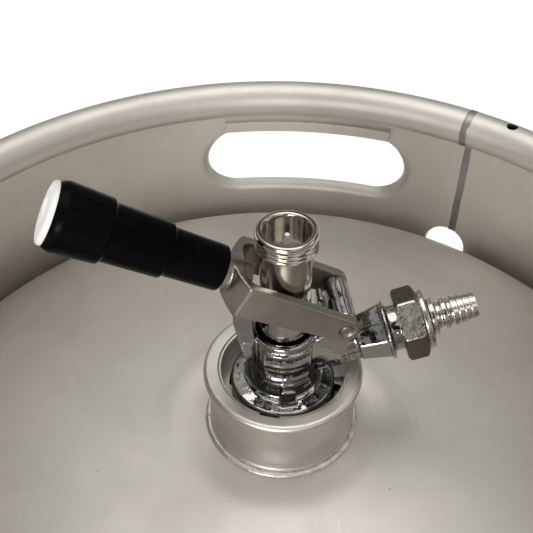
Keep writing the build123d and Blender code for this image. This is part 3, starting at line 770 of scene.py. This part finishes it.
# ================================================================ coupler body
def add_bar(bm, place_at, out, size):
    """Small raised bar on a face: its size is (along the face, outwards, upwards)."""
    turn = Matrix((Vector((-out.y, out.x, 0)), out, Vector((0, 0, 1)))).transposed().to_4x4()
    matrix = Matrix.Translation(Vector(place_at) * MM) @ turn
    bmesh.ops.create_cube(bm, size=1.0, matrix=matrix @ Matrix.Diagonal((*[v * MM for v in size], 1)))


def body_marks(bm):
    """Plain raised frame and short bars where a casting carries its marks."""
    dashes = []
    for z, reach, step in ((17.7, 44, 7.5), (10.6, 34, 6.5), (8.1, 36, 7.5), (5.6, 30, 6.0)):
        count = int(2 * reach / step)
        dashes += [(z, -reach + step * (k + 0.5), 0.42 * step, 1.1) for k in range(count)]
    frame_bars = [(z, a, 9.6, 0.55) for z in (13.4, 3.0) for a in range(-40, 41, 8)]
    for side in (-1, 1):
        for z, turn, span, tall in dashes + frame_bars:
            middle = math.radians(side * 90 + turn)
            out = Vector((math.cos(middle), math.sin(middle), 0))
            add_bar(bm, (*(out * 13.2).to_2d(), NECK + z), out, (math.radians(span) * 13.2, 0.9, tall))
        for turn in (-44, 44):
            middle = math.radians(side * 90 + turn)
            out = Vector((math.cos(middle), math.sin(middle), 0))
            add_bar(bm, (*(out * 13.2).to_2d(), NECK + 8.2), out, (0.55, 0.9, 10.9))
        for x in (17.5, 20.0, 22.0, 25.0, 30.5, 33.2, 35.0):
            height = -2.5 + (x - 8) * 0.303 + 2.9
            add_bar(bm, (x, side * 4.2, NECK + height), Vector((0, side, 0)), (0.7, 0.8, 2.3))


def softened(mesh, amount, scale):
    """The slight unevenness of a hand-finished casting."""
    count = len(mesh.vertices)
    places = np.empty(count * 3, np.float32)
    mesh.vertices.foreach_get("co", places)
    normals = np.empty(count * 3, np.float32)
    mesh.vertex_normals.foreach_get("vector", normals)
    places = places.reshape(-1, 3)
    lift = np.array([noise.noise(p) for p in (places / MM * scale).tolist()])
    places += normals.reshape(-1, 3) * lift[:, None] * amount * MM
    mesh.vertices.foreach_set("co", places.ravel())
    mesh.update()
    return mesh


fineness = 0.48
body_mesh = remeshed("coupler_body", ["coupler_body"], fineness, 3, body_marks)
piece(softened(body_mesh, 0.10, 0.28), "coupler_body", "coupler", "chrome", ["coupler_body"],
      angle=180)

# ================================================================ lever
fork_mesh = remeshed("lever_fork", ["lever_fork"], fineness * 0.85, 5)
piece(softened(fork_mesh, 0.05, 0.4), "lever_fork", "lever", "nickel", ["lever_fork"], angle=180)

pin_length = 14.5
pin_axes = Matrix.Translation(Vector(HINGE) * MM) @ Matrix.Rotation(math.radians(90), 4, "X")
pin_outline = rounded([(0, -pin_length, 0), (1.5, -pin_length, 0.3), (1.7, -pin_length + 0.35, 0.2),
                       (2.1, -pin_length + 0.35, 0.15), (2.46, -pin_length - 0.05, 0.2),
                       (2.46, pin_length + 0.05, 0.2), (2.1, pin_length - 0.35, 0.15),
                       (1.7, pin_length - 0.35, 0.2), (1.5, pin_length, 0.3), (0, pin_length, 0)])
piece(turned("hinge_pin", pin_outline, 64), "hinge_pin", "coupler", "nickel", ["hinge_pin"],
      pin_axes, 30)

grip_corners = [
    (7.4, 49.3, 0.2), (8.0, 49.3, 0.3), (8.47, 49.8, 0.3), (8.83, 70.0, 0.4), (9.85, 70.6, 0.45),
    (9.98, 71.2, 0.4), (10.4, 91.6, 0.4), (11.45, 92.3, 0.45), (11.6, 92.9, 0.4),
    (12.35, 107.6, 0.6), (11.95, 109.2, 0.6), (10.95, 111.0, 0.4), (9.5, 111.0, 0), (9.5, 109.0, 0),
    (2.65, 109.0, 0), (2.65, 105, 0), (5.46, 105, 0), (5.46, 58, 0), (7.4, 58, 0)]
piece(turned("grip", split_long(rounded(grip_corners, 6), 2.5), 128), "grip", "grip",
      "black_plastic", ["grip"], LEVER_AXES, 40)


def capped():
    """Domed end cap with a sunk oval."""
    rings = [(11.0, 111.1), (11.05, 111.35), (11.0, 111.9), (10.8, 112.35), (10.35, 112.7),
             (9.6, 112.95)]
    rings += [(9.4 * (1 - i / 26), 113.0) for i in range(27)]
    points, faces = [], []
    around = 128
    for r, z in rings:
        for i in range(around):
            a = 2 * math.pi * i / around
            x, y = r * math.cos(a), r * math.sin(a)
            depth = 0.0
            if z >= 113.0:
                inside = 1 - math.hypot(x / 6.4, y / 3.4)
                depth = 0.75 * min(1.0, max(0.0, inside * 7.0 + 0.3))
                depth = depth * depth * (3 - 2 * min(1.0, depth / 0.75)) if depth < 0.75 else depth
            points.append((x, y, z - depth - 0.1))
    n = len(rings)
    for k in range(n - 1):
        for i in range(around):
            j = (i + 1) % around
            faces.append((k * around + i, k * around + j, (k + 1) * around + j, (k + 1) * around + i))
    faces.append(tuple(range(around)))
    return mesh_of("grip_cap", points, faces)


piece(capped(), "grip_cap", "grip", "white_plastic", ["grip_cap"], LEVER_AXES, 40)


def hexed(flats, centre, ease):
    """Radius of a hexagon with eased corners at an angle, flats centred on the angle given."""
    def radius(a):
        off = (a - centre + math.pi / 6) % (math.pi / 3) - math.pi / 6
        straight = flats / 2 / math.cos(off)
        corner = flats / 2 / math.cos(math.pi / 6) - ease
        sharp = 9.0 / ease if ease else 60.0
        return -math.log(math.exp(-sharp * straight) + math.exp(-sharp * corner)) / sharp \
            if abs(straight - corner) < 3 else min(straight, corner)
    return radius


NUT_TURN = 9.0                  # a flat's azimuth about the inlet


def nut(name, outline, flats, hex_range, cone):
    """Hexagon turned out of round stock: the outline's rows in the range follow the flats."""
    across = hexed(flats, math.radians(NUT_TURN), 0.35)

    def cut(r, z, a):
        if hex_range[0] - 1e-6 <= z <= hex_range[1] + 1e-6 and r > flats / 2 * 0.98:
            edge = min(z - hex_range[0], hex_range[1] - z)
            return min(across(a), cone[0] + edge * cone[1]), z
        return r, z

    return turned(name, outline, 360, cut)


nut_rows = [(9.3, 26.4), (11.5, 26.4), (12.5, 26.4)]
nut_rows += [(14.6, 26.4 + 9.0 * t) for t in
             (0.0, 0.02, 0.05, 0.08, 0.11, 0.14, 0.18, 0.25, 0.4, 0.6, 0.75, 0.82, 0.86, 0.89,
              0.92, 0.95, 0.98, 1.0)]
nut_rows += [(12.5, 35.4), (12.2, 35.4)]
nut_rows += rounded([(11.2, 35.4, 0.3), (11.9, 36.1, 0.4), (11.8, 37.7, 0.4), (11.1, 38.3, 0.3),
                     (6.25, 38.3, 0)])
nut_rows += [(6.25, 35.1), (9.3, 35.1)]
gas_nut = piece(softened(nut("gas_nut", nut_rows, 25.5, (26.4, 35.4), (12.75, 1.5)), 0.05, 0.5),
                "gas_nut", "coupler", "nut_nickel", ["gas_nut"], GAS_AXES, 32)
# Every other flat is smoother and painted darker, a painted shade for the flats that read dark; the
# ones between are rough from the forge.
gas_nut.data.materials.append(FINISH["painted_shade_nickel"])
for face in gas_nut.data.polygons:
    at = face.center / MM
    painted_shade_flat = round((math.degrees(math.atan2(at.y, at.x)) - NUT_TURN) / 60) % 2 == 1
    if 26.5 < at.z < 35.3 and math.hypot(at.x, at.y) > 12 and painted_shade_flat:
        face.material_index = 1

tail = [(4.0, 33.5, 0), (8.6, 33.5, 0), (8.6, 35.0, 0), (6.1, 35.0, 0), (6.1, 38.6, 0.2),
        (7.5, 38.9, 0.35), (7.5, 40.8, 0.4), (5.4, 41.4, 0.6), (5.4, 43.2, 0.5), (6.3, 43.6, 0.3),
        (6.3, 45.3, 0.3), (5.4, 45.9, 0.3), (5.4, 47.2, 0.3)]
for barb in range(4):
    base, crest = 47.2 + 2.45 * barb, 6.0 - 0.25 * barb
    tail += [(crest - 0.12, base, 0.1), (crest, base + 0.3, 0.2), (crest - 0.55, base + 2.43, 0.05)]
tail += [(4.8, 57.0, 0.2), (4.0, 57.0, 0.2)]
piece(turned("gas_tailpiece", split_long(rounded(tail), 0.8), 128), "gas_tailpiece", "coupler",
      "barb_nickel", ["gas_tailpiece"], GAS_AXES, 40)

# ================================================================ probe
PROBE_FOOT, PROBE_TOP = -31.4, 70.4
probe_corners = [
    (4.0, PROBE_FOOT + 3, 0), (4.0, PROBE_FOOT, 0.2), (8.1, PROBE_FOOT, 0.2),
    (8.1, PROBE_FOOT + 2.8, 0), (9.7, PROBE_FOOT + 2.8, 0.2), (9.7, 39.95, 0.3), (8.0, 39.95, 0.2),
    (8.0, 45.65, 0.2), (9.7, 45.65, 0.3), (9.7, 62.6, 0.3), (10.5, 63.2, 0.3), (11.4, 63.5, 0.2),
    (11.45, PROBE_TOP - 1.4, 0.3), (10.9, PROBE_TOP - 0.3, 0.5), (10.3, PROBE_TOP, 0.4),
    (9.0, PROBE_TOP, 0.4), (8.33, PROBE_TOP - 0.6, 0.4), (8.33, PROBE_TOP - 9.4, 0),
    (6.5, PROBE_TOP - 9.4, 0), (6.5, 31.5, 0), (4.0, 26.5, 0)]
PITCH = 1.814


def threaded(r, z, a):
    """Whitworth thread below the probe's lip, running out at both ends."""
    if r < 10.75 or z < 63.5 or z > PROBE_TOP - 1.3:
        return r, z
    phase = (z - 63.0) / PITCH - a / (2 * math.pi)
    wave = 0.5 - 0.5 * math.cos(2 * math.pi * phase)
    fade = min(1.0, max(0.0, (z - 63.6) / 0.5)) * min(1.0, max(0.0, (PROBE_TOP - 1.5 - z) / 0.4))
    return r - 1.0 * fade * wave**0.8, z


probe_outline = rounded(probe_corners)
fine = []
for i, point in enumerate(probe_outline):
    after = probe_outline[(i + 1) % len(probe_outline)]
    threaded_run = min(point[0], after[0]) > 10.75 and min(point[1], after[1]) > 63.3
    runs = max(1, math.ceil(math.dist(point, after) / (0.13 if threaded_run else 3.0)))
    fine += [(point[0] + (after[0] - point[0]) * k / runs, point[1] + (after[1] - point[1]) * k / runs)
             for k in range(runs)]
piece(turned("probe", fine, 192, threaded), "probe", "probe", "polished_nickel", ["probe"],
      NECK_AXES, 50)

# ================================================================ CAD parts kept as they are
CAD_FINISH = {
    "neck_gasket": "black_rubber", "retaining_ring": "spring_steel",
    "valve_housing": "valve_steel", "valve_seal": "black_rubber", "valve_head": "valve_steel",
    "valve_ball": "valve_steel", "ball_spring": "spring_steel", "main_spring": "spring_steel",
    "spear_tube": "valve_steel", "coupler_seal": "black_rubber", "probe_ring": "black_rubber",
    "gas_washer": "black_rubber", "gas_check_valve": "black_rubber",
    "probe_tip_seal": "black_rubber", "check_ball": "valve_steel",
    # The retainer stem is white plastic so that it makes the bright streak inside the valve: a painted
    # highlight.
    "ball_retainer": "polished_nickel", "retainer_stem": "white_plastic",
    "drive_pins": "nickel", "grip_tube": "turned_steel", "tube_bush": "turned_steel",
    "latch_plunger": "nickel", "latch_spring": "spring_steel",
}
for name, node in nodes.items():
    if node.hide_render:
        continue
    node.data.materials.clear()
    node.data.materials.append(FINISH[CAD_FINISH.get(name, "valve_steel")])
    smooth(node, 32)

# ================================================================ camera, floor and light
camera = bpy.data.objects.new("camera", bpy.data.cameras.new("camera"))
scene.collection.objects.link(camera)
camera.data.sensor_width = 36.0
camera.data.lens = 53.93
camera.data.clip_start = 0.01
camera.matrix_world = (Matrix.Translation((-0.03195, -0.20877, 0.75873))
                       @ Matrix.Rotation(math.radians(-6.80), 4, "Z")
                       @ Matrix.Rotation(math.radians(90 - 42.155), 4, "X")
                       @ Matrix.Rotation(math.radians(0.533), 4, "Z"))
scene.camera = camera

floor_mesh = bpy.data.meshes.new("floor")
floor_mesh.from_pydata([(-6, -6, 0), (6, -6, 0), (6, 6, 0), (-6, 6, 0)], [], [(0, 1, 2, 3)])
floor = bpy.data.objects.new("floor", floor_mesh)
scene.collection.objects.link(floor)
paint = bpy.data.materials.new("pale_floor")
paint.use_nodes = True
tree = paint.node_tree
shader = tree.nodes["Principled BSDF"]
shader.inputs["Base Color"].default_value = (0.92, 0.92, 0.91, 1)
shader.inputs["Roughness"].default_value = 0.9
shader.inputs["Emission Color"].default_value = (1, 1, 1, 1)
shader.inputs["Emission Strength"].default_value = 0.5
floor_mesh.materials.append(paint)

world = bpy.data.worlds.new("studio")
scene.world = world
world.use_nodes = True
tree = world.node_tree
sky = tree.nodes["Background"]
towards = add(tree, "ShaderNodeTexCoord").outputs["Generated"]
way = add(tree, "ShaderNodeSeparateXYZ", {0: towards})
rise = ramp(tree, way.outputs[2], 0.05, 0.85, 0.42, 0.90)
left = ramp(tree, way.outputs[0], -0.85, 0.35, 0.46, 0.92)
near = ramp(tree, way.outputs[1], -0.6, 0.2, 1.25, 0.95)
panels = ramp(tree, blotches(tree, towards, 3.4, 1.0), 0.40, 0.60,
              -0.96, 0.96)
panels = maths(tree, "ADD", maths(tree, "MULTIPLY", panels, ramp(tree, way.outputs[2], 0.3, 0.5)),
               1.0)
level = maths(tree, "MULTIPLY", maths(tree, "MULTIPLY", rise, left),
              maths(tree, "MULTIPLY", near, panels))
tint = add(tree, "ShaderNodeCombineColor", {0: level, 1: maths(tree, "MULTIPLY", level, 0.985),
                                            2: maths(tree, "MULTIPLY", level, 0.95)})
tree.links.new(tint.outputs[0], sky.inputs["Color"])
sky.inputs["Strength"].default_value = 0.66


def lamp(name, at, to, size, power, colour):
    """Large soft rectangular light at a place, facing a point."""
    light = bpy.data.lights.new(name, "AREA")
    light.shape = "RECTANGLE"
    light.size, light.size_y = size
    light.energy = power
    light.color = colour
    obj = bpy.data.objects.new(name, light)
    scene.collection.objects.link(obj)
    obj.location = at
    obj.rotation_euler = (Vector(to) - Vector(at)).to_track_quat("-Z", "Y").to_euler()


lamp("overhead", (-0.05, 0.35, 2.4), (0, 0, 0.4), (1.5, 1.3), 12, (1.0, 0.99, 0.97))
lamp("window", (2.2, -0.3, 1.5), (0, 0, 0.5), (0.9, 1.2), 2.5, (1.0, 0.99, 0.97))
lamp("front", (-0.9, -2.1, 1.05), (0, 0, 0.5), (1.1, 0.7), 34, (1.0, 0.99, 0.98))
scene.view_settings.view_transform = "Standard"
